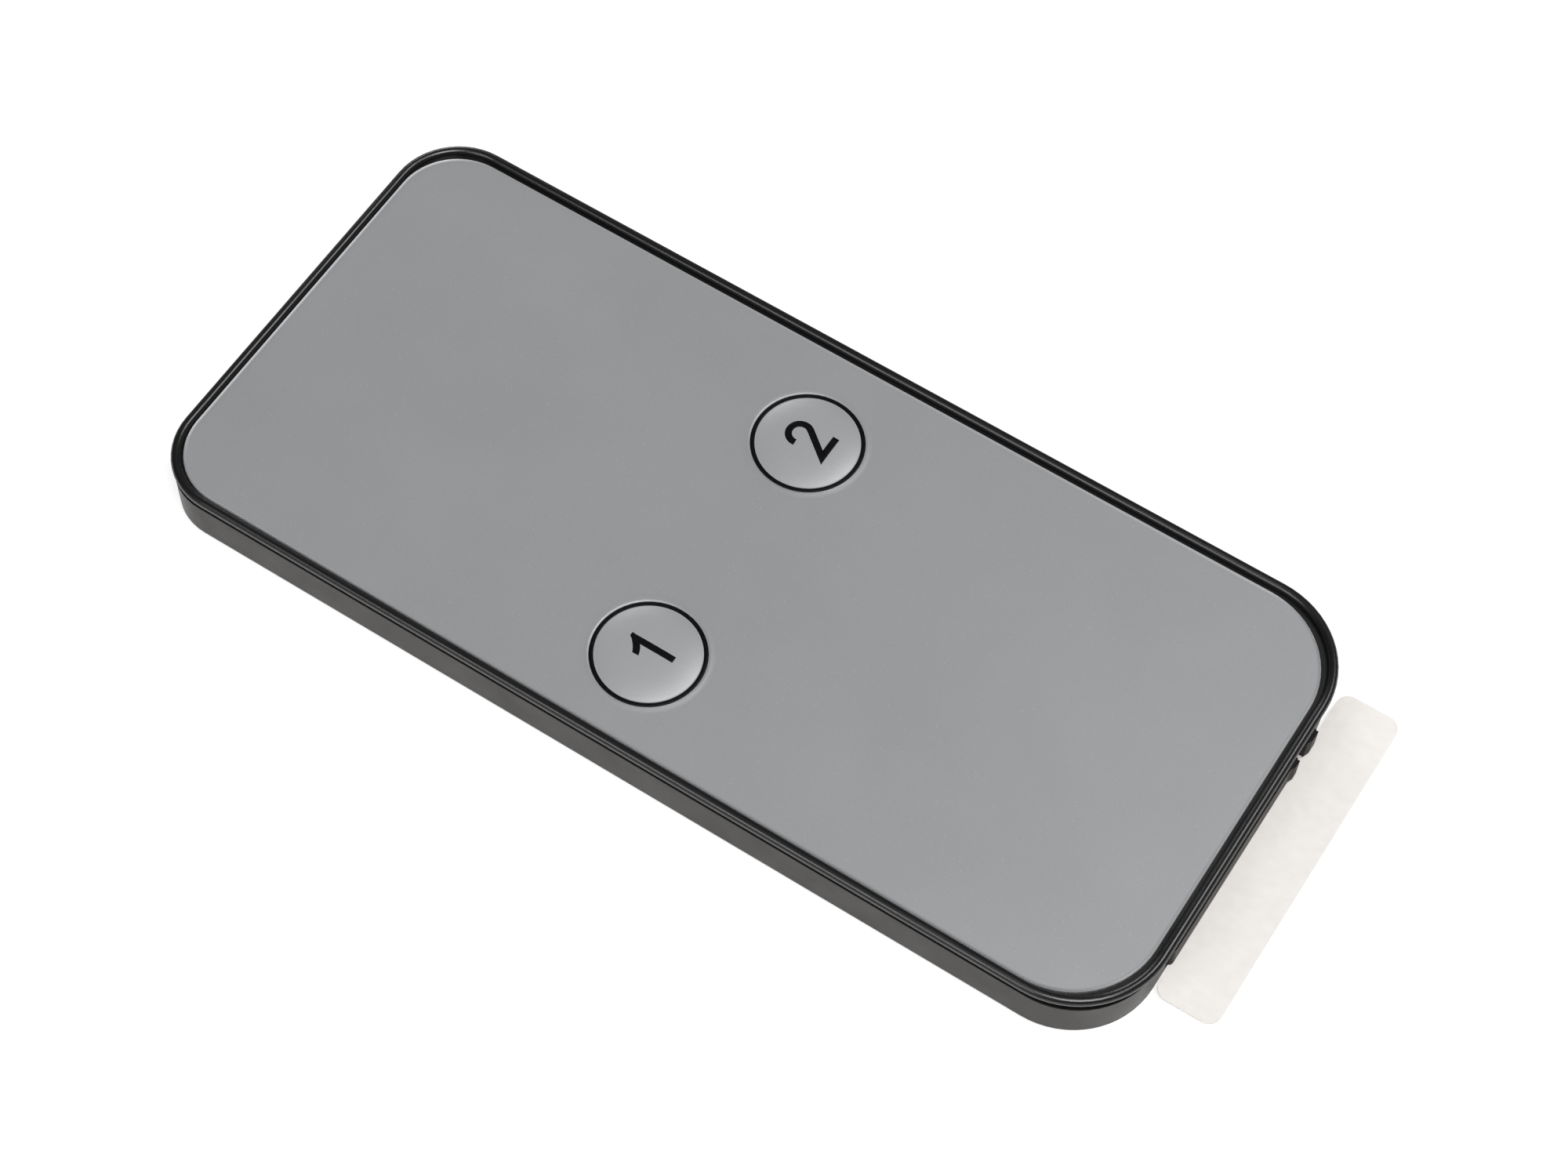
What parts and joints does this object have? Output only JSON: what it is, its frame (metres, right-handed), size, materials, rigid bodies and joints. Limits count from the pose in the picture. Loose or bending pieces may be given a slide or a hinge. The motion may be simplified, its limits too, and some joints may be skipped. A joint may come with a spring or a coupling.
{
  "type": "card remote control",
  "caption": "Slim card-type infrared remote control with a grey film keypad in a dark beaded frame, a slide-out coin-cell tray and a pull tab at one end.",
  "frame": {"origin": "centre of the card's flat back", "axes": "+X to the right as the card is held, +Y along the card towards its infrared end, +Z out of the key face"},
  "size_m": [0.04, 0.092, 0.0059],
  "materials": {
    "case_grey": "fine satin grain, slightly warm dark grey",
    "frame_black": "satin black, soft highlight along the crest",
    "key_film": "metallic grey printed film with fine flecks",
    "dot_white": "soft white",
    "spacer_clear": "milky film",
    "spring_steel": "bright",
    "contact_gold": "flash gold",
    "board_green": "solder mask over glass laminate",
    "chip_black": "moulded epoxy",
    "tinned_lead": "tinned",
    "resonator_amber": "dipped resin",
    "tantalum_amber": "moulded resin",
    "capacitor_tan": "fired ceramic",
    "led_resin": "dark infrared-passing resin",
    "nickel_strip": "nickel plated",
    "tray_grey": "satin dark grey",
    "cell_steel": "bright stainless",
    "gasket_dark": "moulded seal",
    "tab_film": "milky clear film"
  },
  "bodies": {
    "case": {"rear_case": "case_grey", "front_frame": "frame_black", "overlay_sheet": "key_film", "spacer_sheet": "spacer_clear", "snap_dome_1": "spring_steel", "snap_dome_2": "spring_steel", "key_contacts": "contact_gold", "circuit_board": "board_green", "controller_chip": "chip_black", "chip_leads": "tinned_lead", "ceramic_resonator": "resonator_amber", "driver_transistor": "chip_black", "reservoir_capacitor": "tantalum_amber", "chip_capacitors": "capacitor_tan", "chip_resistors": "chip_black", "ir_led": "led_resin", "ir_led_leads": "tinned_lead", "positive_contact": "nickel_strip", "negative_contact": "nickel_strip"},
    "key_1_body": {"key_1": "key_film", "actuator_dot_1": "dot_white"},
    "key_2_body": {"key_2": "key_film", "actuator_dot_2": "dot_white"},
    "tray": {"battery_tray": "tray_grey", "cell_can": "cell_steel", "cell_gasket": "gasket_dark", "cell_cap": "cell_steel"},
    "latch": {"tray_latch": "tray_grey"},
    "tab": {"pull_tab": "tab_film"}
  },
  "joints": [
    {"name": "key_1_press", "type": "slide", "parent": "case", "child": "key_1_body", "axis": [0, 0, -1], "range_m": [0, 0.00025], "stiffness_N_per_m": 4000, "deforming": ["snap_dome_1"]},
    {"name": "key_2_press", "type": "slide", "parent": "case", "child": "key_2_body", "axis": [0, 0, -1], "range_m": [0, 0.00025], "stiffness_N_per_m": 4000, "deforming": ["snap_dome_2"]},
    {"name": "tray_slide", "type": "slide", "parent": "case", "child": "tray", "axis": [0, -1, 0], "range_m": [0, 0.024]},
    {"name": "latch_squeeze", "type": "hinge", "parent": "tray", "child": "latch", "pos_m": [0.0108, -0.0352, 0.0025], "axis": [0, 0, -1], "range_deg": [0, 2.5], "stiffness_Nm_per_rad": 0.05},
    {"name": "tab_pull", "type": "slide", "parent": "case", "child": "tab", "axis": [0, -1, 0], "range_m": [0, 0.0225]}
  ]
}
